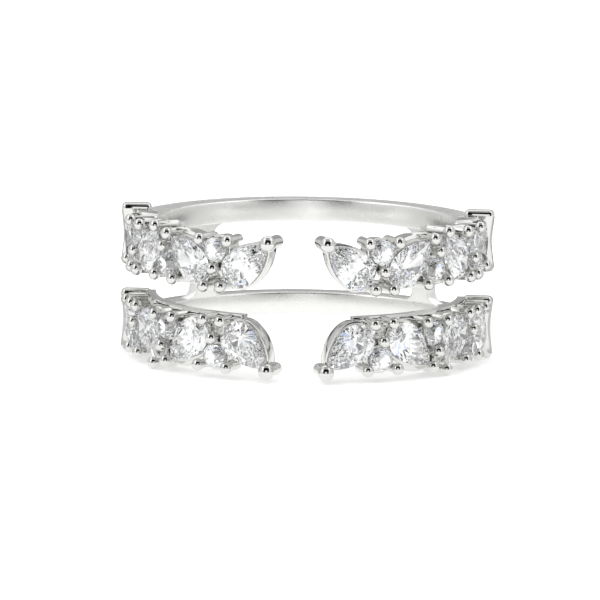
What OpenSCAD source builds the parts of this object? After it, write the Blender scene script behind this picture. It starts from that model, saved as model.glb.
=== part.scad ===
// Ring guard enhancer: two bands, each with a row of pear and round stones on either side of an
// open front, joined by two bridges at the back. Another ring is worn between the two bands.
// The finger runs along Z, the open front faces -Y, and the origin is the centre of the finger hole.

/* [Finger and bands] */
// Radius of the finger hole
finger_r = 8.65; // [8:0.05:10.5]
// Width of each band along the finger
band_w = 1.3; // [1:0.05:1.7]
// Space between the two bands, where the other ring lies
band_gap = 4.24; // [3.8:0.05:4.6]
// Thickness of the bands at the back of the hand
band_t_back = 1.3; // [0.9:0.05:1.5]
// Thickness of the bands at the sides of the finger
band_t_side = 2; // [1.7:0.05:2.2]
// Softened edge of the bands
band_edge = 0.16; // [0.05:0.01:0.25]

/* [Stones] */
// Length of a pear stone, from its round end to its point
pear_l = 3.25; // [2.9:0.05:3.6]
// Width of a pear stone
pear_w = 2.1; // [1.8:0.05:2.3]
// Diameter of a round stone
round_d = 1.4; // [1.2:0.05:1.6]
// Height of the facets above the girdle
crown_h = 0.3; // [0.2:0.01:0.36]
// Depth of the facets below the girdle
pavilion_h = 0.85; // [0.6:0.01:0.95]
// Thickness of the girdle
girdle_t = 0.06; // [0.03:0.01:0.1]
// Width of the table as a share of the stone
table_share = 0.56; // [0.5:0.01:0.64]
// Height of the points of the star facets as a share of the crown
star_height_share = 0.62; // [0.5:0.01:0.75]
// Length of the lower halves as a share of the pavilion
lower_half_share = 0.72; // [0.6:0.01:0.8]
// Clear space between two girdles, and between a girdle and the metal
stone_gap = 0.06; // [0.05:0.01:0.1]

/* [Rows of stones] */
// How far the middle round stone sits in from its neighbours
middle_inset = 0.25; // [0:0.05:0.4]
// Height of the girdles above the finger hole
seat_rise = 1.45; // [1.3:0.05:1.7]
// Open front, between the end claws of the left and right rows
front_gap = 2.2; // [1.6:0.1:3]
// Space between the upper and lower rows at the open front
row_gap_front = 1.1; // [0.8:0.05:1.4]
// Space between the upper and lower rows at the sides of the finger
row_gap_side = 1.45; // [1:0.05:1.8]
// Room for claws between the round ends of two neighbouring pears
claw_space = 0.88; // [0.7:0.01:1.2]
// Room for claws between the round ends of the pears and the edge of the row
claw_reach = 0.35; // [0.25:0.05:0.5]

/* [Settings] */
// How far a basket wall stands out beyond its stone
wall_out = 0.12; // [0.08:0.01:0.16]
// How far the outer flank of an inner or outer pear's basket stands out
flank_out = 0.42; // [0.2:0.01:0.5]
// How far a basket wall reaches in under its stone
wall_in = 0.2; // [0.15:0.01:0.26]
// How far the gallery reaches in under its stone, round the hole for light
light_in = 0.58; // [0.45:0.01:0.59]
// Depth of the top of a basket wall below the middle of the girdle
wall_drop = 0.3; // [0.26:0.01:0.4]
// Depth of the top of an outer flank below the middle of the girdle
flank_drop = 0.45; // [0.4:0.01:0.6]
// Thickness of the gallery under the stones
gallery_t = 0.5; // [0.35:0.05:0.55]
// Width of the two gallery rails along each row
rail_w = 0.6; // [0.4:0.05:0.8]
// Radius of a claw's ball
claw_ball_r = 0.36; // [0.3:0.01:0.4]
// Radius of a claw's post
claw_post_r = 0.3; // [0.22:0.01:0.32]
// Radius of the big ball on the point at the open front
front_ball_r = 0.45; // [0.36:0.01:0.5]
// Radius of the post under the big ball
front_post_r = 0.38; // [0.3:0.01:0.42]
// How far a ball's centre stands out beyond a stone's point, as a share of the ball's radius
point_share = 0.6; // [0.5:0.05:0.7]
// Clear height between the foot of a claw and the finger
claw_foot = 0.08; // [0.05:0.01:0.12]
// Height of a claw ball's centre above the girdle
claw_rise = 0.24; // [0.2:0.01:0.3]
// Thickness of the wall that closes each row at the side
end_wall_t = 0.9; // [0.4:0.05:1.2]
// Height of the foot of that wall above the finger hole
end_wall_foot = 0.3; // [0.1:0.05:0.35]
// Height of the top of that wall above the finger hole
end_wall_rise = 2.05; // [1.8:0.05:2.3]
// Rounding of the corners of that wall
end_wall_round = 0.35; // [0.1:0.05:0.5]

/* [Bridges] */
// Width of each bridge around the finger
bridge_w = 1.3; // [0.9:0.1:2]
// Height of the outer faces of the bridges above the finger hole
bridge_t = 0.75; // [0.5:0.05:1]
// How far the inner faces of the bridges lie back from the finger
bridge_relief = 0.06; // [0.03:0.01:0.15]
// Angle from the middle of the back to each bridge
bridge_angle = 46; // [30:1:60]
// Radius of the fillets where a bridge meets a band
bridge_fillet = 0.7; // [0.3:0.05:1]

/* [Hidden] */
$fn = 48;
PEAR = 0;
ROUND = 1;
seat_r = finger_r + seat_rise;
head_r = pear_w / 2;
round_r = round_d / 2;
point_x = pear_l - head_r;
claw_out = claw_post_r + stone_gap;
point_claw_out = point_share * claw_ball_r;
front_claw_out = point_share * front_ball_r;

// Metal is left inside the finger hole until the hole is bored, and cuts run past what they cut
bore_stock = 0.3;
inside_r = finger_r - bore_stock;
overcut = 0.001;
reach = 60;

// Straight steps in a rounded corner, and round faces that show the most
round_steps = 5;
FINE = 128;

// Each band is round outside about a centre that is moved towards the front
back_r = finger_r + band_t_back;
side_r = finger_r + band_t_side;
band_r = (back_r + side_r * side_r / back_r) / 2;
band_shift = band_r - back_r;

// The points of the pears fan out in pairs; angles are from the way round the finger
fan_front = 139;
fan_in = 42;
fan_out = 130;

// Places of the stones along the row, measured round the finger at girdle height
outer_pitch = pear_w + claw_space;
inner_pitch = pear_w + claw_space + round_d;
arc_1 = front_gap / 2 + front_ball_r - (point_x + front_claw_out) * cos(fan_front);
arc_3 = arc_1 + outer_pitch;
arc_5 = arc_3 + inner_pitch;
arc_7 = arc_5 + outer_pitch;
row_end = arc_7 + point_x * cos(fan_in) + 2 * stone_gap;
row_end_angle = row_end / seat_r * 180 / PI;

function row_edge(arc) = (row_gap_front + (row_gap_side - row_gap_front) * arc / row_end) / 2;
function head_z(arc) = row_edge(arc) + claw_reach + head_r;
function notch_z(arc, pitch) = head_z(arc)
    + sqrt(max(0, pow(head_r + round_r + stone_gap, 2) - pow(pitch / 2, 2)));

// Columns: name, cut, way round the finger, height from the middle, angle of the point
STONES = [
    ["pear_front", PEAR, arc_1, head_z(arc_1), fan_front],
    ["round_front", ROUND, arc_1 + outer_pitch / 2, notch_z(arc_1 + outer_pitch / 2, outer_pitch), 0],
    ["pear_inner", PEAR, arc_3, head_z(arc_3), fan_in],
    ["round_middle", ROUND, arc_3 + inner_pitch / 2, head_z(arc_3 + inner_pitch / 2) - middle_inset, 0],
    ["pear_outer", PEAR, arc_5, head_z(arc_5), fan_out],
    ["round_side", ROUND, arc_5 + outer_pitch / 2, notch_z(arc_5 + outer_pitch / 2, outer_pitch), 0],
    ["pear_side", PEAR, arc_7, head_z(arc_7), fan_in],
];

// Columns: stone that the claw stands beside, its bearing from that stone's round end
CLAWS = [
    [0, -46],
    [1, 148], [1, 31], [1, 272],
    [2, 230],
    [3, 222], [3, -38], [3, 84],
    [4, -46],
    [5, 148], [5, 31], [5, 272],
    [6, 228], [6, -40],
];
POINT_CLAWS = [2, 4];
FLANKS = [2, 4, 6];

// The four rows: left or right of the front, above or below the middle
SIDES = [["top_right", 0, 0], ["top_left", 1, 0], ["bottom_right", 0, 1], ["bottom_left", 1, 1]];
function stone_name(stone, side) = str(stone[0], "_", side[0]);

row_top = head_z(arc_5) + (point_x + point_claw_out) * sin(fan_out) + claw_ball_r;

// Outline of a pear moved outwards by a margin, with its round end about the origin
function pear_points(margin, steps) =
    let (bow_r = (point_x * point_x + head_r * head_r) / (2 * head_r))
    let (drop = bow_r - head_r)
    let (arc_r = bow_r + margin)
    let (end = acos(drop / arc_r))
    concat(
        [for (k = [0 : steps - 1]) let (a = end * (1 - k / steps))
            [arc_r * sin(a), arc_r * cos(a) - drop]],
        [for (k = [0 : 2 * steps]) let (a = 90 + 90 * k / steps)
            (head_r + margin) * [cos(a), sin(a)]],
        [for (k = [1 : steps - 1]) let (a = end * k / steps)
            [arc_r * sin(a), drop - arc_r * cos(a)]]
    );

function round_points(margin, steps) =
    [for (k = [0 : 4 * steps - 1]) let (a = 90 * k / steps) (round_r + margin) * [cos(a), sin(a)]];

function stone_points(stone, margin, steps) =
    stone[1] == PEAR ? pear_points(margin, steps) : round_points(margin, steps);

// Moves a shape that faces outwards to a place on the row
module at_row(arc, height) {
    rotate([0, 0, arc / seat_r * 180 / PI])
        translate([0, 0, height])
            rotate([90, 0, 0])
                translate([0, 0, seat_r])
                    children();
}

module at_stone(stone) {
    at_row(stone[2], stone[3])
        rotate([0, 0, stone[4]])
            children();
}

module at_side(side) {
    mirror([side[1], 0, 0])
        mirror([0, 0, side[2]])
            children();
}

module outline(stone, margin) {
    if (stone[1] == PEAR)
        polygon(pear_points(margin, 6));
    else
        circle(r = round_r + margin);
}

// A prism on a stone's outline between two heights from the middle of the girdle
module prism(stone, margin, low, high) {
    translate([0, 0, low])
        linear_extrude(high - low)
            outline(stone, margin);
}

module basket(stone) {
    prism(stone, wall_out, inside_r - seat_r, -wall_drop);
}

// The wall that is seen below the points of the pears, on the outer side of the row
module flank(stone) {
    intersection() {
        prism(stone, flank_out, inside_r - seat_r, -flank_drop);
        rotate([0, 0, -stone[4]])
            translate([-reach / 2, head_r / 2, -reach / 2])
                cube(reach);
    }
}

// Room for the girdle, a well for the facets below it, and a hole for light through the gallery
module seat(stone) {
    prism(stone, stone_gap, -wall_drop - overcut, girdle_t / 2 + stone_gap);
    prism(stone, -wall_in, finger_r + gallery_t - seat_r, 0);
    prism(stone, -light_in, inside_r - seat_r, 0);
}

// A post with a ball on top; its foot is rounded and stays clear of the finger
module claw(post_r, ball_r) {
    foot = finger_r + claw_foot + post_r - seat_r;
    translate([0, 0, foot])
        cylinder(r = post_r, h = claw_rise - foot);
    translate([0, 0, foot])
        sphere(r = post_r);
    translate([0, 0, claw_rise])
        sphere(r = ball_r);
}

module claws() {
    for (row = CLAWS) {
        stone = STONES[row[0]];
        edge = (stone[1] == PEAR ? head_r : round_r) + claw_out;
        at_row(stone[2] + edge * cos(row[1]), stone[3] + edge * sin(row[1]))
            claw(claw_post_r, claw_ball_r);
    }
    for (index = POINT_CLAWS)
        at_stone(STONES[index])
            translate([point_x + point_claw_out, 0, 0])
                claw(claw_post_r, claw_ball_r);
    at_stone(STONES[0])
        translate([point_x + front_claw_out, 0, 0])
            claw(front_post_r, front_ball_r);
}

// A strip of the gallery, round the finger from one place on the row to another
module rail(from_arc, to_arc, low, width) {
    from_angle = from_arc / seat_r * 180 / PI;
    to_angle = to_arc / seat_r * 180 / PI;
    rotate([0, 0, from_angle - 90])
        rotate_extrude(angle = to_angle - from_angle, $fn = FINE)
            translate([inside_r, low])
                square([finger_r + gallery_t - inside_r, width]);
}

module gallery() {
    rail(arc_1, row_end, row_edge(row_end), rail_w);
    rail(arc_1 + outer_pitch / 2, row_end, row_top - claw_ball_r - 2 * rail_w, rail_w);
}

// Points of a quarter circle about a centre, from a starting angle
function quarter_arc(centre, r, start) =
    [for (k = [0 : round_steps]) let (a = start + 90 * k / round_steps) centre + r * [cos(a), sin(a)]];

function rounded_rectangle(low, high, round) = concat(
    quarter_arc([high[0] - round, high[1] - round], round, 0),
    quarter_arc([low[0] + round, high[1] - round], round, 90),
    quarter_arc([low[0] + round, low[1] + round], round, 180),
    quarter_arc([high[0] - round, low[1] + round], round, 270)
);

module end_wall() {
    rotate([0, 0, row_end_angle - 90])
        rotate([90, 0, 0])
            translate([0, 0, -end_wall_t])
                linear_extrude(end_wall_t)
                    polygon(rounded_rectangle([finger_r + end_wall_foot, row_edge(row_end)],
                        [finger_r + end_wall_rise, row_top], end_wall_round));
}

module quarter() {
    for (stone = STONES)
        at_stone(stone)
            basket(stone);
    for (index = FLANKS)
        at_stone(STONES[index])
            flank(STONES[index]);
    claws();
    gallery();
    end_wall();
}

// Section of a band, from inside the finger hole to its outer face
function band_section() =
    let (round_x = band_r - band_edge)
    concat(
        [[inside_r / 2, 0]],
        quarter_arc([round_x, band_edge], band_edge, -90),
        quarter_arc([round_x, band_w - band_edge], band_edge, 0),
        [[inside_r / 2, band_w]]
    );

// A band stops where the rows of stones begin
module band() {
    difference() {
        translate([0, -band_shift, band_gap / 2])
            rotate_extrude($fn = FINE)
                polygon(band_section());
        linear_extrude(reach)
            polygon(concat([[0, 0]], [for (k = [-round_steps : round_steps])
                let (a = k / round_steps * row_end_angle) reach * [sin(a), -cos(a)]]));
    }
}

// The shape of a bridge seen from outside: it runs into both bands and flares where it meets them
module bridge_outline() {
    flare_w = bridge_w / 2 + bridge_fillet;
    flare_h = band_gap / 2 - bridge_fillet;
    difference() {
        square([2 * flare_w, band_gap + band_w], center = true);
        for (side = [-1, 1])
            translate([side * flare_w, 0]) {
                square([2 * bridge_fillet, 2 * flare_h], center = true);
                for (up = [-1, 1])
                    translate([0, up * flare_h])
                        circle(r = bridge_fillet);
            }
    }
}

module bridge() {
    intersection() {
        rotate([0, 0, 180 - bridge_angle])
            rotate([90, 0, 0])
                linear_extrude(reach)
                    bridge_outline();
        difference() {
            cylinder(r = finger_r + bridge_t, h = reach, center = true, $fn = FINE);
            cylinder(r = finger_r + bridge_relief, h = reach + overcut, center = true, $fn = FINE);
        }
    }
}

module ring_frame() {
    color("silver")
        difference() {
            union() {
                for (side = SIDES)
                    at_side(side)
                        quarter();
                for (up = [0, 1])
                    mirror([0, 0, up])
                        band();
                for (left = [0, 1])
                    mirror([left, 0, 0])
                        bridge();
            }
            for (side = SIDES)
                at_side(side)
                    for (stone = STONES)
                        at_stone(stone)
                            seat(stone);
            cylinder(r = finger_r, h = reach, center = true, $fn = FINE);
        }
}

// A brilliant cut: table, stars, bezels and halves above the girdle, mains and halves below
module brilliant(stone) {
    edge = stone_points(stone, 0, 4);
    count = len(edge);
    half = count / 2;
    star_share = (1 + table_share) / 2;
    star_z = girdle_t / 2 + crown_h * star_height_share;
    low_share = 1 - lower_half_share;
    low_z = -girdle_t / 2 - pavilion_h * lower_half_share;
    points = concat(
        [for (k = [0 : half - 1]) concat(edge[2 * k] * table_share, girdle_t / 2 + crown_h)],
        [for (k = [0 : half - 1]) concat(edge[2 * k + 1] * star_share, star_z)],
        [for (p = edge) concat(p, girdle_t / 2)],
        [for (p = edge) concat(p, -girdle_t / 2)],
        [for (k = [0 : half - 1]) concat(edge[2 * k + 1] * low_share, low_z)],
        [[0, 0, -girdle_t / 2 - pavilion_h]]
    );
    table = function(k) k % half;
    star = function(k) half + k % half;
    top = function(k) 2 * half + k % count;
    bottom = function(k) 2 * half + count + k % count;
    low = function(k) 2 * half + 2 * count + k % half;
    culet = 3 * half + 2 * count;
    faces = concat(
        [[for (k = [half - 1 : -1 : 0]) table(k)]],
        [for (k = [0 : half - 1]) [table(k), table(k + 1), star(k)]],
        [for (k = [0 : half - 1]) [table(k), star(k), top(2 * k)]],
        [for (k = [0 : half - 1]) [table(k + 1), top(2 * k + 2), star(k)]],
        [for (k = [0 : half - 1]) [star(k), top(2 * k + 1), top(2 * k)]],
        [for (k = [0 : half - 1]) [star(k), top(2 * k + 2), top(2 * k + 1)]],
        [for (k = [0 : count - 1]) [top(k), top(k + 1), bottom(k + 1)]],
        [for (k = [0 : count - 1]) [top(k), bottom(k + 1), bottom(k)]],
        [for (k = [0 : half - 1]) [low(k), bottom(2 * k), bottom(2 * k + 1)]],
        [for (k = [0 : half - 1]) [low(k), bottom(2 * k + 1), bottom(2 * k + 2)]],
        [for (k = [0 : half - 1]) [bottom(2 * k), low(k), culet]],
        [for (k = [0 : half - 1]) [bottom(2 * k + 2), culet, low(k)]]
    );
    polyhedron(points, faces);
}

module set_stone(stone, side) {
    color("aliceblue")
        at_side(side)
            at_stone(stone)
                brilliant(stone);
}

ring_frame();
for (side = SIDES)
    for (stone = STONES)
        set_stone(stone, side);
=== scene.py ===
# %% [markdown]
# A ring guard is worn round another ring. It is two thin bands, one above and one below, with a row of
# claw-set stones on each side of an open front. The other ring's band lies between the two bands, and its
# head stands in the open front. This lesson dresses the construction model of such a ring: the stones stay,
# and the metal is modelled again, piece by piece, with the soft edges and round claws of real work.

# %% Load the frame
import math

import bpy
from mathutils import Matrix, Vector


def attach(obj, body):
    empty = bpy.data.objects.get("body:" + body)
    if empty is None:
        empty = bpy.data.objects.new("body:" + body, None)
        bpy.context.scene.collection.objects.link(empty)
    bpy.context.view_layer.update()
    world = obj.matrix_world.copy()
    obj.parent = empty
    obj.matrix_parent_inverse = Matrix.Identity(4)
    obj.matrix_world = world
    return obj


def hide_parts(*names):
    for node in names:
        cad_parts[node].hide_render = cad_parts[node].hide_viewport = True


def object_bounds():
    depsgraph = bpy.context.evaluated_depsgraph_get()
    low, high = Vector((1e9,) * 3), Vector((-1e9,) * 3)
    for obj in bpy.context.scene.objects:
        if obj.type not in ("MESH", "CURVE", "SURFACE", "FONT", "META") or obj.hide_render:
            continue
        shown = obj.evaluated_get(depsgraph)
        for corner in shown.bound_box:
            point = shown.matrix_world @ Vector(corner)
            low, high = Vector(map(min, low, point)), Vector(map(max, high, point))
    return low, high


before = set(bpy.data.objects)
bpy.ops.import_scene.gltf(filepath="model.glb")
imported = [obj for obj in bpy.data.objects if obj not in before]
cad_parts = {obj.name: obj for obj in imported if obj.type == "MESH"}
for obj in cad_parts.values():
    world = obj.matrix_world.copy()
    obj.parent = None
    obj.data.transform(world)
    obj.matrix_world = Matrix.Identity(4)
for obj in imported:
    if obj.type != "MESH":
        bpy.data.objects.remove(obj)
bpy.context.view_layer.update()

print("the frame has", len(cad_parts), "nodes")

# %% [markdown]
# The camera looks at the open front from a little above, nearly level, as a jeweller's product picture
# does. A long lens keeps the ring's shape free of distortion, so the camera stands far off for its size.

# %% Camera
MM = 0.001
IMAGE = 600
PIXELS_PER_MM = 17.4
camera_side = math.radians(3.0)
camera_height = math.radians(9.25)
camera_roll = math.radians(0.8)
camera_distance = 350 * MM
aim_below = 1.18 * MM
ring_off_centre = 6.7

look = Vector((-math.sin(camera_side) * math.cos(camera_height),
               math.cos(camera_side) * math.cos(camera_height), -math.sin(camera_height)))
level = Vector((math.cos(camera_side), math.sin(camera_side), 0))
upward = level.cross(look)
right = level * math.cos(camera_roll) + upward * math.sin(camera_roll)
top = upward * math.cos(camera_roll) - level * math.sin(camera_roll)

camera_data = bpy.data.cameras.new("camera")
camera = bpy.data.objects.new("camera", camera_data)
bpy.context.scene.collection.objects.link(camera)
eye = Vector((0, 0, -aim_below)) - camera_distance * look
turn = Matrix((right, top, -look)).transposed().to_4x4()
camera.matrix_world = Matrix.Translation(eye) @ turn
camera_data.sensor_width = 36
camera_data.lens = camera_data.sensor_width * PIXELS_PER_MM * camera_distance / MM / IMAGE
camera_data.shift_x = -ring_off_centre * math.cos(camera_roll) / IMAGE
camera_data.shift_y = ring_off_centre * math.sin(camera_roll) / IMAGE
camera_data.clip_start = 10 * MM
bpy.context.scene.camera = camera
print("camera at", [round(v, 3) for v in eye], "lens", round(camera_data.lens), "mm")

# %% [markdown]
# Colours are written as the hex codes that a picture editor shows, and one function turns them to the
# linear values that a shader works in. Another small function adds a node, sets it and links it, so each
# material below reads as a short list of what its surface has.

# %% Colours and nodes
def linear(code):
    channels = [int(code[i:i + 2], 16) / 255 for i in (0, 2, 4)]
    return tuple(c / 12.92 if c <= 0.04045 else ((c + 0.055) / 1.055) ** 2.4 for c in channels) + (1.0,)


def add_node(tree, kind, settings=None, inputs=None, links=None):
    node = tree.nodes.new(kind)
    for name, value in (settings or {}).items():
        setattr(node, name, value)
    for socket, value in (inputs or {}).items():
        node.inputs[socket].default_value = value
    for socket, source in (links or {}).items():
        tree.links.new(source, node.inputs[socket])
    return node


print("white is", linear("FFFFFF"))

# %% [markdown]
# White gold is plated with rhodium, which gives it its cool light grey. Claws, baskets and end walls are
# polished to a mirror with felt and rouge. The bands were only drawn through a die and smoothed, so they
# keep hairlines that run round the finger and show a softer sheen. On both, handling leaves the polish a
# little duller in places, and that unevenness is what tells metal from a computer's chrome.

# %% White gold
# A patch that a polishing felt has missed is about as wide as a stone
DULL_PATCH_MM = 1.6
# Real hairlines are only a few thousandths of a millimetre wide, so they are drawn coarse enough to show
HAIRLINE_MM = 0.12
HAIRLINE_DEPTH_MM = 0.01
# Places round the finger are shrunk to this share, which draws the noise out into lines round the finger
HAIRLINE_STRETCH = 0.03
# The values of the noise between which bright polish turns to dulled metal
PATCH_FROM, PATCH_TO = 0.35, 0.7


def white_gold(finish, tone, roughness, dulled, hairlines):
    material = bpy.data.materials.new("rhodium_plated_white_gold_" + finish)
    material.use_nodes = True
    tree = material.node_tree
    metal = tree.nodes["Principled BSDF"]
    metal.inputs["Metallic"].default_value = 1.0
    metal.inputs["Base Color"].default_value = linear(tone)
    place = add_node(tree, "ShaderNodeTexCoord")
    patches = add_node(tree, "ShaderNodeTexNoise",
                       inputs={"Scale": 1 / (DULL_PATCH_MM * MM), "Detail": 1.0},
                       links={"Vector": place.outputs["Object"]})
    dullness = add_node(tree, "ShaderNodeMapRange",
                        inputs={"From Min": PATCH_FROM, "From Max": PATCH_TO,
                                "To Min": roughness, "To Max": dulled},
                        links={"Value": patches.outputs["Fac"]})
    tree.links.new(dullness.outputs["Result"], metal.inputs["Roughness"])
    along = add_node(tree, "ShaderNodeMapping",
                     inputs={"Scale": (HAIRLINE_STRETCH, HAIRLINE_STRETCH, 1.0)},
                     links={"Vector": place.outputs["Object"]})
    lines = add_node(tree, "ShaderNodeTexNoise",
                     inputs={"Scale": 1 / (HAIRLINE_MM * MM), "Detail": 2.0},
                     links={"Vector": along.outputs["Vector"]})
    relief = add_node(tree, "ShaderNodeBump",
                      inputs={"Strength": hairlines, "Distance": HAIRLINE_DEPTH_MM * MM},
                      links={"Height": lines.outputs["Fac"]})
    tree.links.new(relief.outputs["Normal"], metal.inputs["Normal"])
    print("metal", material.name)
    return material


# Mirror polish: a sharp image with slightly milky patches
polished = white_gold("mirror_polished", tone="DEDEDC", roughness=0.05, dulled=0.16, hairlines=0.04)
# Drawn and smoothed: broad soft reflections and hairlines round the finger. It is the same metal, but it
# gets a lighter tone than the polished parts: painted brightness that keeps the faces of the bands and
# bridges light
smoothed_painted_lighter = white_gold("drawn_and_smoothed", tone="F3F3F1", roughness=0.26, dulled=0.3, hairlines=0.12)

# %% [markdown]
# A cut diamond bends light more than any other clear stone, so most of what goes in at the table comes
# back out of it, broken into small bright and dark facets. The facets are polished on a lapping wheel until
# they show no grain at all. Inside, a natural stone is never quite even: faint clouds a fraction of a
# millimetre wide lean to a cooler or a warmer white.

# %% Diamond
CLOUD_MM = 0.7
DIAMOND_IOR = 2.418


def diamond():
    material = bpy.data.materials.new("diamond_brilliant_cut")
    material.use_nodes = True
    tree = material.node_tree
    glass = tree.nodes["Principled BSDF"]
    glass.inputs["Transmission Weight"].default_value = 1.0
    glass.inputs["Roughness"].default_value = 0.0
    glass.inputs["IOR"].default_value = DIAMOND_IOR
    place = add_node(tree, "ShaderNodeTexCoord")
    clouds = add_node(tree, "ShaderNodeTexNoise", inputs={"Scale": 1 / (CLOUD_MM * MM), "Detail": 2.0},
                      links={"Vector": place.outputs["Object"]})
    tint = add_node(tree, "ShaderNodeValToRGB", links={"Fac": clouds.outputs["Fac"]})
    tint.color_ramp.elements[0].color = linear("F7FAFF")
    tint.color_ramp.elements[1].color = linear("FFFEFA")
    tree.links.new(tint.outputs["Color"], glass.inputs["Base Color"])
    return material


stone = diamond()
for name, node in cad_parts.items():
    node.data.materials.clear()
    node.data.materials.append(polished if name == "ring_frame" else stone)
print("stones are", stone.name)

# %% [markdown]
# A jeweller works at a bench with a few plain tools, and so does this lesson. Blender's tools suit things
# of about a metre, so each piece is modelled a thousand times its size, one unit to a millimetre, and is
# brought down to its real size when it is finished. The bench tools below open a new primitive for
# shaping, pick corners, edges or faces by their place, and close, copy and join what was shaped.

# %% Bench tools
import bmesh

TOUCH = 0.001


def start(add, **settings):
    bpy.ops.object.select_all(action="DESELECT")
    add(**settings)
    bpy.ops.object.transform_apply(location=True, rotation=True, scale=True)
    bpy.ops.object.mode_set(mode="EDIT")
    return bpy.context.object


def pick(piece, kind, *tests):
    bpy.context.tool_settings.mesh_select_mode = [kind == k for k in ("verts", "edges", "faces")]
    bpy.ops.mesh.select_all(action="DESELECT")
    mesh = bmesh.from_edit_mesh(piece.data)
    for part in getattr(mesh, kind):
        places = [part.co] if kind == "verts" else [v.co for v in part.verts]
        if any(all(test(co) for co in places) for test in tests):
            part.select_set(True)
    mesh.select_flush_mode()
    bmesh.update_edit_mesh(piece.data)


def close_up():
    bpy.ops.mesh.select_all(action="SELECT")
    bpy.ops.mesh.remove_doubles(threshold=TOUCH)
    bpy.ops.mesh.normals_make_consistent(inside=False)
    bpy.ops.object.mode_set(mode="OBJECT")


def select_only(*pieces):
    bpy.ops.object.select_all(action="DESELECT")
    for piece in pieces:
        piece.select_set(True)
    bpy.context.view_layer.objects.active = pieces[-1]


def apply_modifier(piece, kind, **settings):
    select_only(piece)
    modifier = piece.modifiers.new(kind.lower(), kind)
    for name, value in settings.items():
        setattr(modifier, name, value)
    bpy.ops.object.modifier_apply(modifier=modifier.name)


def put(piece, place):
    select_only(piece)
    piece.matrix_world = place
    bpy.ops.object.transform_apply(location=True, rotation=True, scale=True)
    return piece


def copy_to(master, place):
    select_only(master)
    bpy.ops.object.duplicate(linked=False)
    return put(bpy.context.object, place)


def join(pieces):
    select_only(*pieces)
    bpy.ops.object.join()
    return bpy.context.object


def corners_of(piece):
    places = [v.co for v in piece.data.vertices]
    return [[pick_one(co[k] for co in places) for k in range(3)] for pick_one in (min, max)]


print("bench tools are ready")

# %% [markdown]
# A finished piece is brought down to its real size, given its metal and its name, and tied to the frame:
# it rides on the frame's one body and stands for the frame's soldered metal.

# %% Finishing a piece
SMOOTH_ANGLE = math.radians(32)
made = []


def finish_piece(piece, name, metal):
    piece.name = name
    piece.data.name = name
    select_only(piece)
    bpy.ops.transform.resize(value=(MM, MM, MM), center_override=(0, 0, 0))
    bpy.ops.object.transform_apply(location=True, rotation=True, scale=True)
    bpy.ops.object.shade_smooth_by_angle(angle=SMOOTH_ANGLE)
    apply_modifier(piece, "WEIGHTED_NORMAL", keep_sharp=True)
    piece.vertex_groups.clear()
    piece.data.materials.clear()
    piece.data.materials.append(metal)
    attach(piece, "root")
    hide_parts("ring_frame")
    made.append(piece)


# %% [markdown]
# These are the sizes that the ring was built to, in millimetres: the finger hole, the bands, the stones
# and the height at which the stones sit. Where each stone is, and which way a pear points, is measured on
# the frame's own stones, so the new settings fit them with nothing typed twice.

# %% Sizes and places
FINGER_R, BAND_W, BAND_GAP = 8.65, 1.3, 4.24
BAND_T_BACK, BAND_T_SIDE, BAND_EDGE = 1.3, 2.0, 0.16
GALLERY_T, RAIL_W = 0.5, 0.6
GIRDLE_HALF, PAVILION_H = 0.03, 0.85
ROW = ["pear_front", "round_front", "pear_inner", "round_middle", "pear_outer", "round_side", "pear_side"]


def measure(name):
    corners = [v.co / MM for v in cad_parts[name + "_top_right"].data.vertices]
    culet = min(corners, key=lambda c: math.hypot(c.x, c.y))
    bearing = math.atan2(culet.x, -culet.y)
    level_off = Matrix.Rotation(-math.radians(90), 4, "X") @ Matrix.Rotation(-bearing, 4, "Z")
    flat = [level_off @ (c - Vector((0, 0, culet.z))) for c in corners]
    tip = max(flat, key=lambda c: math.hypot(c.x, c.y))
    head = max(math.hypot(c.x, c.y) for c in flat if c.x * tip.x + c.y * tip.y < 0)
    pear = name.startswith("pear")
    return {"name": name, "pear": pear, "bearing": bearing, "height": culet.z,
            "turn": math.atan2(tip.y, tip.x) if pear else 0.0, "head": head,
            "tip": math.hypot(tip.x, tip.y),
            "seat_r": math.hypot(culet.x, culet.y) + PAVILION_H + GIRDLE_HALF}


STONES = [measure(name) for name in ROW]
SEAT_R = STONES[0]["seat_r"]
HEAD_R, TIP_X, ROUND_R = STONES[0]["head"], STONES[0]["tip"], STONES[1]["tip"]


def on_row(bearing, height, turn):
    return (Matrix.Rotation(bearing, 4, "Z") @ Matrix.Translation((0, 0, height))
            @ Matrix.Rotation(math.radians(90), 4, "X") @ Matrix.Translation((0, 0, SEAT_R))
            @ Matrix.Rotation(turn, 4, "Z"))


for s in STONES:
    print(s["name"], "at", round(math.degrees(s["bearing"]), 1), "degrees, height", round(s["height"], 2),
          "mm, pointing to", round(math.degrees(s["turn"])), "degrees")

# %% [markdown]
# A stone sits in a basket: a thin wall that follows the stone's outline a little below its girdle,
# standing on the gallery, with a hole under the stone that lets light in. It could be cut from a block,
# but it is easier built from outlines, as a wire worker would: each outline is drawn at its own level, well
# apart from the others, each is bridged to the next, and the levels are then pushed together. A pear's
# outline is half a circle and two arcs that meet at the point, so a circle is cut in half and each end of
# it is spun round the centre of its arc.

# %% Outlines of the stones
BOW_R = (TIP_X ** 2 + HEAD_R ** 2) / (2 * HEAD_R)
BOW_DROP = BOW_R - HEAD_R
HEAD_STEPS, BOW_STEPS = 32, 8
APART = 20


def pear_outline(piece, margin, height):
    head = HEAD_R + margin
    bpy.ops.mesh.primitive_circle_add(vertices=HEAD_STEPS, radius=head, location=(0, 0, height))
    bpy.ops.mesh.bisect(plane_co=(0, 0, height), plane_no=(1, 0, 0), clear_outer=True)
    bow = math.acos(BOW_DROP / (BOW_R + margin))
    for side in (1, -1):
        pick(piece, "verts", lambda co: (co - Vector((0, side * head, height))).length < TOUCH)
        bpy.ops.mesh.spin(steps=BOW_STEPS, angle=side * bow, center=(0, -side * BOW_DROP, height),
                          axis=(0, 0, 1))


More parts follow.
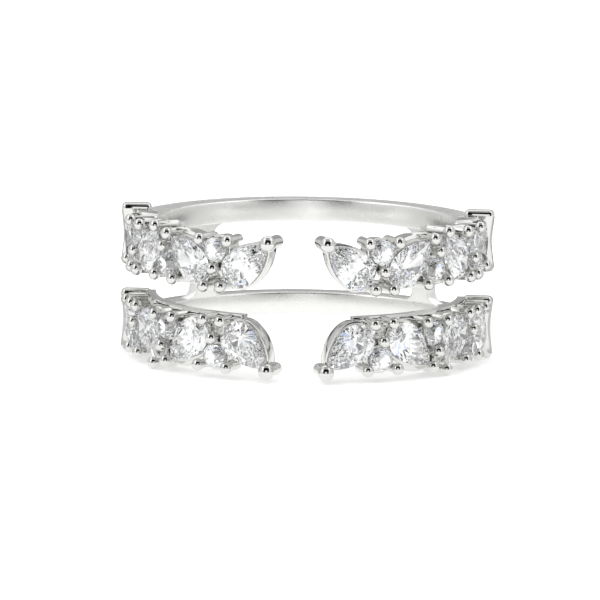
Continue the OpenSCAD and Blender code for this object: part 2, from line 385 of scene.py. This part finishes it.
def round_outline(piece, margin, height):
    bpy.ops.mesh.primitive_circle_add(vertices=HEAD_STEPS, radius=ROUND_R + margin, location=(0, 0, height))


def stack_outlines(draw, outlines, hollow):
    piece = start(bpy.ops.mesh.primitive_plane_add, size=1)
    bpy.ops.mesh.delete(type="VERT")
    levels = [step * APART for step in range(len(outlines))]
    for (margin, _), level in zip(outlines, levels):
        draw(piece, margin, level)
    bpy.ops.mesh.select_all(action="SELECT")
    bpy.ops.mesh.remove_doubles(threshold=TOUCH)
    pairs = list(zip(levels, levels[1:])) + ([(levels[-1], levels[0])] if hollow else [])
    for one, other in pairs:
        pick(piece, "edges", lambda co: abs(co.z - one) < TOUCH or abs(co.z - other) < TOUCH)
        bpy.ops.mesh.bridge_edge_loops()
    for end in [] if hollow else (levels[0], levels[-1]):
        pick(piece, "edges", lambda co: abs(co.z - end) < TOUCH)
        bpy.ops.mesh.edge_face_add()
    for (_, height), level in reversed(list(zip(outlines, levels))):
        pick(piece, "verts", lambda co: abs(co.z - level) < TOUCH)
        bpy.ops.transform.translate(value=(0, 0, height - level))
    return piece


FOOT_RISE, FOOT_OUT = 0.12, 0.04
FOOT = FINGER_R + FOOT_RISE - SEAT_R
FOOT_GROUP = "Group"
GALLERY_TOP = FINGER_R + GALLERY_T - SEAT_R
WALL_DROP, WALL_OUT, WALL_IN, LIGHT_IN = 0.3, 0.12, 0.2, 0.55
BASKET = [(WALL_OUT, -WALL_DROP), (FOOT_OUT, FOOT), (-LIGHT_IN, FOOT), (-LIGHT_IN, GALLERY_TOP),
          (-WALL_IN, GALLERY_TOP), (-WALL_IN, -WALL_DROP)]


def mark_foot(piece):
    pick(piece, "verts", lambda co: abs(co.z - FOOT) < TOUCH)
    bpy.ops.object.vertex_group_assign_new()


pear_basket = stack_outlines(pear_outline, BASKET, hollow=True)
mark_foot(pear_basket)
close_up()
round_basket = stack_outlines(round_outline, BASKET, hollow=True)
mark_foot(round_basket)
close_up()
for basket in (pear_basket, round_basket):
    print("basket", [round(v, 2) for v in basket.dimensions], "mm,", len(basket.data.polygons), "faces")

# %% [markdown]
# Before a stone goes in, the setter cuts its seat with a bur: a notch in each claw for the girdle, and a
# well for the facets below. The cutter here has the same form, a little larger than the stone, and a
# Boolean takes it out of every flank and claw that it reaches.

# %% Seat cutters
STONE_GAP = 0.06
SEAT = [(-WALL_IN, GALLERY_TOP + TOUCH), (-WALL_IN, -WALL_DROP), (STONE_GAP, -WALL_DROP),
        (STONE_GAP, GIRDLE_HALF + STONE_GAP)]
pear_seat = stack_outlines(pear_outline, SEAT, hollow=False)
close_up()
round_seat = stack_outlines(round_outline, SEAT, hollow=False)
close_up()
seats = [copy_to(pear_seat if s["pear"] else round_seat, on_row(s["bearing"], s["height"], s["turn"]))
         for s in STONES]


def cut_seats(piece):
    low, high = corners_of(piece)
    for seat in seats:
        seat_low, seat_high = corners_of(seat)
        if all(low[k] < seat_high[k] and seat_low[k] < high[k] for k in range(3)):
            apply_modifier(piece, "BOOLEAN", operation="DIFFERENCE", object=seat, solver="EXACT")
    return piece


print("seat cutters:", len(seats))

# %% [markdown]
# Below the pears that point outwards the basket swells into a smooth flank, which is what shows of the
# setting from the front. It is drawn as the basket is, further out, and the half that would fill the
# space between the two rows is cut away.

# %% Flanks
FLANK_DROP, FLANK_OUT = 0.45, 0.42
LIP_IN, LIP_DROP, FOOT_IN = 0.06, 0.1, 0.12
FLANK = [(FLANK_OUT - LIP_IN, -FLANK_DROP), (FLANK_OUT, -FLANK_DROP - LIP_DROP),
         (FLANK_OUT - FOOT_IN, FOOT), (0, FOOT), (0, -FLANK_DROP)]


def flank(turn):
    piece = stack_outlines(pear_outline, FLANK, hollow=True)
    along_finger = Vector((math.sin(turn), math.cos(turn), 0))
    bpy.ops.mesh.select_all(action="SELECT")
    bpy.ops.mesh.bisect(plane_co=along_finger * HEAD_R / 2, plane_no=along_finger, clear_inner=True,
                        use_fill=True)
    mark_foot(piece)
    close_up()
    return piece


row_flanks = [cut_seats(put(flank(s["turn"]), on_row(s["bearing"], s["height"], s["turn"])))
              for s in STONES if s["name"] in ("pear_inner", "pear_outer", "pear_side")]
print("flanks:", len(row_flanks))

# %% [markdown]
# A claw is a wire that stands beside the stone, with its end melted into a ball that holds the girdle
# down. It is turned like a baluster: one ring at the foot, drawn up and widened step by step, each step a
# row of a short rule, and closed at the top.

# %% Claws
CLAW_RISE = 0.24
CLAW_SIDES = 24
BALL_STEPS = 10
CLAW_FOOT = 0.1
# Radii and heights of the foot's rings, and the neck's radius, as shares of the post's radius
FOOT_SHARE, SHOULDER_SHARE, SHOULDER_RISE, NECK_SHARE = 0.6, 0.9, 0.35, 0.88


def claw(post_r, ball_r):
    foot = FINGER_R + CLAW_FOOT - SEAT_R
    neck = math.asin(post_r * NECK_SHARE / ball_r)
    rings = [(foot, post_r * FOOT_SHARE), (foot + post_r * SHOULDER_RISE, post_r * SHOULDER_SHARE),
             (foot + post_r, post_r)]
    for k in range(BALL_STEPS):
        angle = neck + (math.pi - neck) * k / BALL_STEPS
        rings.append((CLAW_RISE - ball_r * math.cos(angle), ball_r * math.sin(angle)))
    piece = start(bpy.ops.mesh.primitive_circle_add, vertices=CLAW_SIDES, radius=rings[0][1],
                  location=(0, 0, rings[0][0]), fill_type="NGON")
    for (low, narrow), (high, wide) in zip(rings, rings[1:]):
        bpy.ops.mesh.extrude_region_move(TRANSFORM_OT_translate={"value": (0, 0, high - low)})
        bpy.ops.transform.resize(value=(wide / narrow, wide / narrow, 1), center_override=(0, 0, high))
    crown = CLAW_RISE + ball_r - rings[-1][0]
    bpy.ops.mesh.extrude_region_move(TRANSFORM_OT_translate={"value": (0, 0, crown)})
    bpy.ops.mesh.merge(type="CENTER")
    close_up()
    return piece


small_claw = claw(post_r=0.28, ball_r=0.35)
front_claw = claw(post_r=0.38, ball_r=0.47)
for piece in (small_claw, front_claw):
    print("claw", [round(v, 2) for v in piece.dimensions], "mm")

# %% [markdown]
# Each claw holds one stone and often its neighbour too. The short table names the stone that a claw stands
# beside and its bearing from the middle of that stone's round end. One more claw holds the point of each
# pear that points outwards, and the big ball holds the point at the open front.

# %% Claws in their places
CLAWS = [("pear_front", -46), ("round_front", 148), ("round_front", 31), ("round_front", 272),
         ("pear_inner", 230), ("round_middle", 222), ("round_middle", -38), ("round_middle", 84),
         ("pear_outer", -46), ("round_side", 148), ("round_side", 31), ("round_side", 272),
         ("pear_side", 228), ("pear_side", -40)]
CLAW_OUT = 0.36
POINT_OUT, FRONT_OUT = 0.216, 0.27
STONE = {s["name"]: s for s in STONES}


def beside(name, bearing):
    s = STONE[name]
    edge = (HEAD_R if s["pear"] else ROUND_R) + CLAW_OUT
    angle = math.radians(bearing)
    return on_row(s["bearing"] + edge * math.cos(angle) / SEAT_R, s["height"] + edge * math.sin(angle), 0)


def beyond_point(name, out):
    s = STONE[name]
    return on_row(s["bearing"], s["height"], s["turn"]) @ Matrix.Translation((TIP_X + out, 0, 0))


row_claws = [copy_to(small_claw, beside(name, bearing)) for name, bearing in CLAWS]
row_claws += [copy_to(small_claw, beyond_point(name, POINT_OUT)) for name in ("pear_inner", "pear_outer")]
row_claws.append(copy_to(front_claw, beyond_point("pear_front", FRONT_OUT)))
for piece in row_claws:
    cut_seats(piece)
print("claws in a row:", len(row_claws))

# %% [markdown]
# The baskets of a row stand on the gallery, which is two thin rails bent round the finger. A rail is a
# small rectangle spun round the finger from the first basket to the end of the row.

# %% Gallery rails
# The room that the row's edge keeps for claws, beyond a pear's round end and beyond its point
BALL_R, CLAW_REACH, POINT_REACH = 0.36, 0.35, 0.525
LAST = STONE["pear_side"]
ROW_END = LAST["bearing"] + (TIP_X * math.cos(LAST["turn"]) + 2 * STONE_GAP) / SEAT_R
ROW_EDGE = LAST["height"] - HEAD_R - CLAW_REACH
ROW_TOP = max(s["height"] + TIP_X * math.sin(s["turn"]) for s in STONES) + POINT_REACH
RAIL_STEPS = 48


def rail(first, last, low):
    piece = start(bpy.ops.mesh.primitive_plane_add, size=1, rotation=(math.radians(90), 0, 0))
    bpy.ops.transform.resize(value=(GALLERY_T, 1, RAIL_W))
    bpy.ops.transform.translate(value=(FINGER_R + GALLERY_T / 2, 0, low + RAIL_W / 2))
    bpy.ops.mesh.spin(steps=RAIL_STEPS, angle=first - last, center=(0, 0, 0), axis=(0, 0, 1))
    close_up()
    return put(piece, Matrix.Rotation(first - math.radians(90), 4, "Z"))


inner_rail = rail(STONE["pear_front"]["bearing"], ROW_END, ROW_EDGE)
outer_rail = rail(STONE["round_front"]["bearing"], ROW_END, ROW_TOP - BALL_R - 2 * RAIL_W)
row_rails = [inner_rail, outer_rail]
print("rails end at", round(math.degrees(ROW_END), 1), "degrees")

# %% [markdown]
# A stout wall closes each row at the side of the finger and joins it to its band. It starts as a block. Its
# long sides are cut into short lengths, so that the outer face can be drawn in to a shallow waist between
# the stout ends that carry the last claws, and a wide bevel then rounds every edge, as a file would.

# %% End wall
END_T, END_FOOT, END_RISE, END_ROUND = 0.9, 0.3, 2.06, 0.3
WAIST, WAIST_STEPS = 0.16, 10
SQUARE_ENOUGH = math.radians(60)


def end_wall():
    inner, outer = FINGER_R + END_FOOT, FINGER_R + END_RISE
    tall = ROW_TOP - ROW_EDGE
    piece = start(bpy.ops.mesh.primitive_cube_add, size=1)
    bpy.ops.transform.resize(value=(outer - inner, END_T, tall))
    bpy.ops.transform.translate(value=((inner + outer) / 2, END_T / 2, (ROW_TOP + ROW_EDGE) / 2))
    corners = [(x, y) for x in (inner, outer) for y in (0, END_T)]
    pick(piece, "edges", *[lambda co, c=c: math.hypot(co.x - c[0], co.y - c[1]) < TOUCH for c in corners])
    bpy.ops.mesh.subdivide(number_cuts=WAIST_STEPS - 1)
    for k in range(1, WAIST_STEPS):
        z = ROW_EDGE + tall * k / WAIST_STEPS
        pick(piece, "verts", lambda co: co.x > outer - TOUCH and abs(co.z - z) < TOUCH)
        bpy.ops.transform.translate(value=(-WAIST * math.sin(math.pi * k / WAIST_STEPS) ** 2, 0, 0))
    close_up()
    apply_modifier(piece, "BEVEL", width=END_ROUND, segments=5, limit_method="ANGLE",
                   angle_limit=SQUARE_ENOUGH)
    return put(piece, Matrix.Rotation(ROW_END - math.radians(90), 4, "Z"))


row_end_wall = end_wall()
print("end wall", [round(v, 2) for v in row_end_wall.dimensions], "mm")

# %% [markdown]
# The pieces of a row are now gathered. The feet of baskets and flanks are still flat, so they are pressed
# onto a mandrel as wide as the finger hole, and the sharp edges are broken by a fine bevel, because a real
# edge that has been polished always catches a thin line of light. The other three rows are mirror images of
# this one. A mirror turns a mesh inside out, so its normals are made to point outwards again.

# %% Rows
EDGE_BREAK, SHARP_ENOUGH = 0.035, math.radians(40)
ROUND_STEPS, MANDREL_LENGTH = 256, 20
mandrel = start(bpy.ops.mesh.primitive_cylinder_add, vertices=ROUND_STEPS, radius=FINGER_R,
                depth=MANDREL_LENGTH)
bpy.ops.object.mode_set(mode="OBJECT")


def break_edges(piece, width):
    apply_modifier(piece, "BEVEL", width=width, segments=2, limit_method="ANGLE",
                   angle_limit=SHARP_ENOUGH)


def press_feet(piece):
    apply_modifier(piece, "SHRINKWRAP", target=mandrel, vertex_group=FOOT_GROUP)


row_baskets = [copy_to(pear_basket if s["pear"] else round_basket,
                       on_row(s["bearing"], s["height"], s["turn"])) for s in STONES]
for piece in row_baskets + row_flanks:
    press_feet(piece)
row = {"baskets": join(row_baskets), "flanks": join(row_flanks), "claws": join(row_claws),
       "gallery": join(row_rails), "end_wall": row_end_wall}
for name in ("baskets", "gallery"):
    break_edges(row[name], EDGE_BREAK)

SIDES = {"top_right": (1, 1), "top_left": (-1, 1), "bottom_right": (1, -1), "bottom_left": (-1, -1)}
for side, (across, up) in SIDES.items():
    for name, master in row.items():
        piece = copy_to(master, Matrix.Diagonal((across, 1, up, 1)))
        bpy.ops.object.mode_set(mode="EDIT")
        close_up()
        finish_piece(piece, name + "_" + side, polished)
for master in row.values():
    bpy.data.objects.remove(master)
print("rows:", len(SIDES), "of", len(row), "pieces")

# %% [markdown]
# A band is round inside for the finger and round outside about a centre that lies a little towards the
# front, which makes it thin at the back of the hand and stout at the sides. So two circles are drawn,
# bridged to a flat washer and drawn up to the band's width; the outer rims are rounded, and the front part
# is cut off where the stones take over.

# %% Bands
BACK_R, SIDE_R = FINGER_R + BAND_T_BACK, FINGER_R + BAND_T_SIDE
BAND_R = (BACK_R + SIDE_R ** 2 / BACK_R) / 2
BAND_SHIFT = BAND_R - BACK_R
BAND_END, INNER_EDGE = 0.1, 0.1


def band():
    low, high = BAND_GAP / 2, BAND_GAP / 2 + BAND_W
    piece = start(bpy.ops.mesh.primitive_circle_add, vertices=ROUND_STEPS, radius=FINGER_R,
                  location=(0, 0, low))
    bpy.ops.mesh.primitive_circle_add(vertices=ROUND_STEPS, radius=BAND_R, location=(0, -BAND_SHIFT, low))
    bpy.ops.mesh.select_all(action="SELECT")
    bpy.ops.mesh.bridge_edge_loops()
    bpy.ops.mesh.extrude_region_move(TRANSFORM_OT_translate={"value": (0, 0, BAND_W)})
    rim = lambda co, z: math.hypot(co.x, co.y + BAND_SHIFT) > BAND_R - TOUCH and abs(co.z - z) < TOUCH
    pick(piece, "edges", lambda co: rim(co, low), lambda co: rim(co, high))
    bpy.ops.mesh.bevel(offset=BAND_EDGE, segments=4)
    pick(piece, "edges", lambda co: math.hypot(co.x, co.y) < FINGER_R + TOUCH and abs(co.z - low) < TOUCH,
         lambda co: math.hypot(co.x, co.y) < FINGER_R + TOUCH and abs(co.z - high) < TOUCH)
    bpy.ops.mesh.bevel(offset=INNER_EDGE, segments=3)
    bpy.ops.mesh.select_all(action="SELECT")
    bpy.ops.mesh.bisect(plane_co=(0, BAND_END, 0), plane_no=(0, 1, 0), clear_inner=True, use_fill=True)
    close_up()
    return piece


upper_band = band()
lower_band = copy_to(upper_band, Matrix.Diagonal((1, 1, -1, 1)))
bpy.ops.object.mode_set(mode="EDIT")
close_up()
# The bands get the white gold with the painted lighter tone
finish_piece(upper_band, "band_top", smoothed_painted_lighter)
finish_piece(lower_band, "band_bottom", smoothed_painted_lighter)
print("bands are", round(BACK_R - FINGER_R, 2), "mm thick behind and", round(SIDE_R - FINGER_R, 2),
      "mm at the sides")

# %% [markdown]
# Two bridges behind hold the two bands apart. A bridge is a strip of plate, flared where it meets the
# bands. The strip is drawn flat as a grid whose rows are widened towards both ends by the rule of a circle,
# then laid round the mandrel, thickened outwards, and its edges are broken.

# %% Bridges
BRIDGE_W, BRIDGE_FILLET, BRIDGE_ANGLE = 1.3, 0.7, math.radians(46)
BRIDGE_RELIEF, BRIDGE_TOP, BRIDGE_ROOT = 0.06, 0.75, 0.5
BRIDGE_ROWS, BRIDGE_COLUMNS = 32, 12


def bridge():
    half_h = BAND_GAP / 2 + BRIDGE_ROOT
    piece = start(bpy.ops.mesh.primitive_grid_add, x_subdivisions=BRIDGE_COLUMNS,
                  y_subdivisions=BRIDGE_ROWS, size=1)
    bpy.ops.transform.resize(value=(1, 2 * half_h, 1))
    bpy.ops.transform.rotate(value=math.radians(90), orient_axis="X", center_override=(0, 0, 0))
    bpy.ops.transform.translate(value=(0, FINGER_R + BRIDGE_RELIEF, 0))
    straight = BAND_GAP / 2 - BRIDGE_FILLET
    for k in range(BRIDGE_ROWS + 1):
        z = -half_h + 2 * half_h * k / BRIDGE_ROWS
        over = min(max(abs(z) - straight, 0), BRIDGE_FILLET)
        half_w = BRIDGE_W / 2 + BRIDGE_FILLET - math.sqrt(BRIDGE_FILLET ** 2 - over ** 2)
        pick(piece, "verts", lambda co: abs(co.z - z) < TOUCH)
        bpy.ops.transform.resize(value=(2 * half_w, 1, 1), center_override=(0, 0, z))
    bpy.ops.object.mode_set(mode="OBJECT")
    apply_modifier(piece, "SHRINKWRAP", target=mandrel, offset=BRIDGE_RELIEF, wrap_mode="OUTSIDE")
    apply_modifier(piece, "SOLIDIFY", thickness=BRIDGE_TOP - BRIDGE_RELIEF, offset=1)
    return piece


right_bridge = bridge()
print("bridge", [round(v, 2) for v in right_bridge.dimensions], "mm")
for side, across in (("right", 1), ("left", -1)):
    turned = Matrix.Rotation(-BRIDGE_ANGLE, 4, "Z")
    piece = copy_to(right_bridge, Matrix.Diagonal((across, 1, 1, 1)) @ turned)
    bpy.ops.object.mode_set(mode="EDIT")
    close_up()
    break_edges(piece, EDGE_BREAK)
    # The bridges also get the white gold with the painted lighter tone
    finish_piece(piece, "bridge_" + side, smoothed_painted_lighter)
for helper in (right_bridge, mandrel, pear_basket, round_basket, pear_seat, round_seat, small_claw,
               front_claw, *seats):
    bpy.data.objects.remove(helper)
for piece in made:
    print(piece.name, len(piece.data.polygons), "faces")

# %% [markdown]
# The floor is a plain board of white acrylic, lit a little from below as product photographers do, so the
# ring's shadow stays pale. The ring rests on its lower claws, so the floor touches its lowest point.

# %% Floor
floor_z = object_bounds()[0][2]
FLOOR_SIZE = 4.0
FROM_BELOW = 0.2

bpy.ops.object.select_all(action="DESELECT")
bpy.ops.mesh.primitive_plane_add(size=FLOOR_SIZE, location=(0, 0, floor_z))
floor = bpy.context.object
floor.name = "floor"

board = bpy.data.materials.new("frosted_white_acrylic")
board.use_nodes = True
acrylic = board.node_tree.nodes["Principled BSDF"]
acrylic.inputs["Base Color"].default_value = linear("FDFDFD")
acrylic.inputs["Roughness"].default_value = 0.9
acrylic.inputs["Specular IOR Level"].default_value = 0.1
acrylic.inputs["Emission Color"].default_value = linear("FFFFFF")
acrylic.inputs["Emission Strength"].default_value = FROM_BELOW
floor.data.materials.append(board)
print("floor at", round(floor_z / MM, 2), "mm")

# %% [markdown]
# Polished metal shows nothing but its surroundings, so the light is built as a photographer's light tent:
# white cloth that is brightest high up and gets greyer down to the horizon. The cloth is the world's
# colour, worked out from how high a direction points. The grey at the horizon is what draws a thin line
# along each edge, and the greyer top keeps flat faces that look straight up from burning out.

# %% Light tent
HORIZON, MIDWAY, HIGH, ZENITH = 0.72, 1.1, 1.4, 0.85
MIDWAY_HEIGHT, HIGH_HEIGHT = 0.45, 0.88

world = bpy.data.worlds.new("light_tent")
bpy.context.scene.world = world
world.use_nodes = True
tent = world.node_tree
direction = add_node(tent, "ShaderNodeTexCoord")
up = add_node(tent, "ShaderNodeSeparateXYZ", links={"Vector": direction.outputs["Generated"]})
cloth = add_node(tent, "ShaderNodeValToRGB", links={"Fac": up.outputs["Z"]})
cloth.color_ramp.elements[0].color = (HORIZON, HORIZON, HORIZON, 1)
cloth.color_ramp.elements[1].color = (ZENITH, ZENITH, ZENITH, 1)
cloth.color_ramp.elements.new(MIDWAY_HEIGHT).color = (MIDWAY, MIDWAY, MIDWAY, 1)
cloth.color_ramp.elements.new(HIGH_HEIGHT).color = (HIGH, HIGH, HIGH, 1)
tent.links.new(cloth.outputs["Color"], tent.nodes["Background"].inputs["Color"])
bpy.context.scene.view_settings.view_transform = "Standard"
print("light tent from", HORIZON, "at the horizon to", HIGH, "high up and", ZENITH, "at its top")

# %% [markdown]
# A soft box at the left puts the white highlight on each claw. It and the cards below are placed as a
# photographer would say it: so far round to the right of the ring's front, and so high above the table.

# %% Soft box
def towards(side, height):
    side, height = math.radians(side), math.radians(height)
    return Vector((math.sin(side) * math.cos(height), -math.cos(side) * math.cos(height), math.sin(height)))


def soft_box(name, side, height, distance, size, brightness):
    data = bpy.data.lights.new(name, "AREA")
    data.shape = "SQUARE"
    data.size = size
    data.energy = brightness * math.pi * size ** 2
    box = bpy.data.objects.new(name, data)
    box.location = towards(side, height) * distance
    box.rotation_euler = towards(side, height).to_track_quat("Z", "Y").to_euler()
    bpy.context.scene.collection.objects.link(box)
    print(name, "at", side, "degrees, height", height)


soft_box("box_left", side=-47, height=42, distance=0.52, size=0.16, brightness=4.0)

# %% [markdown]
# Against white cloth alone polished metal looks like chalk, so cards of felt and paper stand round the
# ring. They are kept out of the picture and throw no shadow: they are only seen as reflections, and each
# is shown to the metal or to the stones, whichever it is meant for. A card is given by its direction and
# by how many degrees wide and tall it looks from the ring.

# %% Felt and paper
def matt(name, code, glow=0.0):
    material = bpy.data.materials.new(name)
    material.use_nodes = True
    surface = material.node_tree.nodes["Principled BSDF"]
    surface.inputs["Base Color"].default_value = linear(code)
    surface.inputs["Roughness"].default_value = 1.0
    surface.inputs["Specular IOR Level"].default_value = 0.0
    surface.inputs["Emission Color"].default_value = linear("FFFFFF")
    surface.inputs["Emission Strength"].default_value = glow
    return material


CARD_DISTANCE = 0.3
black, grey = matt("black_felt", "0A0A0A"), matt("grey_felt", "505050")
silver, pale = matt("silver_grey_card", "9C9C9C"), matt("pale_grey_card", "C8C8C8")
white, blue_paper = matt("white_card", "F4F4F4"), matt("pale_blue_paper", "C4D0EE")
lit_paper = matt("lit_grey_paper", "ACACAB", glow=0.72)


def lay(name, place, turn, across, upwards, sheet, in_metal, in_stones):
    bpy.ops.object.select_all(action="DESELECT")
    bpy.ops.mesh.primitive_plane_add(size=1, location=place, rotation=turn)
    piece = bpy.context.object
    piece.name = name
    piece.scale = (across, upwards, 1)
    piece.visible_camera = piece.visible_diffuse = piece.visible_shadow = False
    piece.visible_glossy = in_metal
    piece.visible_transmission = in_stones
    piece.data.materials.append(sheet)
    print(name, "is", round(across, 3), "by", round(upwards, 3), "m")


def card(name, side, height, wide, tall, sheet, in_metal, distance=CARD_DISTANCE):
    across, upwards = [2 * distance * math.tan(math.radians(v / 2)) for v in (wide, tall)]
    turn = towards(side, height).to_track_quat("Z", "Y").to_euler()
    lay(name, towards(side, height) * distance, turn, across, upwards, sheet, in_metal, not in_metal)


# %% [markdown]
# The metal gets thirteen of them. Paper lit from below lies under the ring in place of the brighter floor,
# so that the lower half of each claw is not burnt out. Black felt over the camera, with a white card before
# its lower edge, makes the small dark arch in each claw. Low grey strips close behind the ring draw a thin
# dark line along every outline. Silver-grey cards behind and overhead, a pale grey one at each side and
# three that lie on the table round the ring keep the bands from vanishing against the white, wherever the
# ring is seen from. The stones are shown the paper under the ring too.

# %% Cards for the metal
SHEET_SIZE, SHEET_LIFT = 0.6, 0.02 * MM
STRIP_DISTANCE, WHITE_DISTANCE = 0.026, 0.28
CLEAR_OF_RING, REACH, FORWARD = 11.3 * MM, 90 * MM, 4 * MM

lay("sheet_under_ring", (0, 0, floor_z + SHEET_LIFT), (0, 0, 0), SHEET_SIZE, SHEET_SIZE, lit_paper,
    in_metal=True, in_stones=True)
beyond = (CLEAR_OF_RING + REACH) / 2
for name, place, across, upwards in (
        ("left", (-beyond, REACH / 2 - FORWARD), REACH - CLEAR_OF_RING, REACH),
        ("right", (beyond, REACH / 2 - FORWARD), REACH - CLEAR_OF_RING, REACH),
        ("behind", (0, beyond), 2 * CLEAR_OF_RING, REACH - CLEAR_OF_RING)):
    lay("sheet_" + name, (*place, floor_z + 2 * SHEET_LIFT), (0, 0, 0), across, upwards, pale,
        in_metal=True, in_stones=False)
card("card_over_camera", side=4, height=38, wide=80, tall=66, sheet=black, in_metal=True)
card("card_before_felt", side=4, height=17, wide=26, tall=22, sheet=white, in_metal=True,
     distance=WHITE_DISTANCE)
card("card_above_horizon", side=180, height=18, wide=140, tall=28, sheet=silver, in_metal=True)
card("card_overhead", side=0, height=90, wide=44, tall=44, sheet=silver, in_metal=True)
for name, side in (("left", -115), ("right", 115)):
    card("card_beside_" + name, side=side, height=24, wide=80, tall=40, sheet=pale, in_metal=True)
for name, side in (("left", -150), ("middle", 180), ("right", 150)):
    card("strip_behind_" + name, side=side, height=-4, wide=60, tall=9, sheet=grey, in_metal=True,
         distance=STRIP_DISTANCE)

# %% [markdown]
# The stones get five. Three of black felt darken a few facets, as the camera and the dark room do in a
# real stone, and two of pale blue paper give others the cool tint that the photograph shows.

# %% Cards for the stones
card("felt_at_camera", side=0, height=16, wide=40, tall=28, sheet=black, in_metal=False)
card("felt_at_left", side=-95, height=35, wide=40, tall=30, sheet=black, in_metal=False)
card("felt_at_right", side=110, height=50, wide=40, tall=30, sheet=black, in_metal=False)
card("blue_card_left", side=-50, height=45, wide=30, tall=20, sheet=blue_paper, in_metal=False)
card("blue_card_right", side=45, height=30, wide=30, tall=20, sheet=blue_paper, in_metal=False)

# %% [markdown]
# A cut diamond passes light from facet to facet many times before it lets it out, and the polished
# basket below sends it back in. With few bounces those paths end in black, so more of them are allowed.

# %% Bounces
path = bpy.context.scene.cycles
path.max_bounces = path.transmission_bounces = 24
path.glossy_bounces = 16
print("bounces", path.max_bounces)
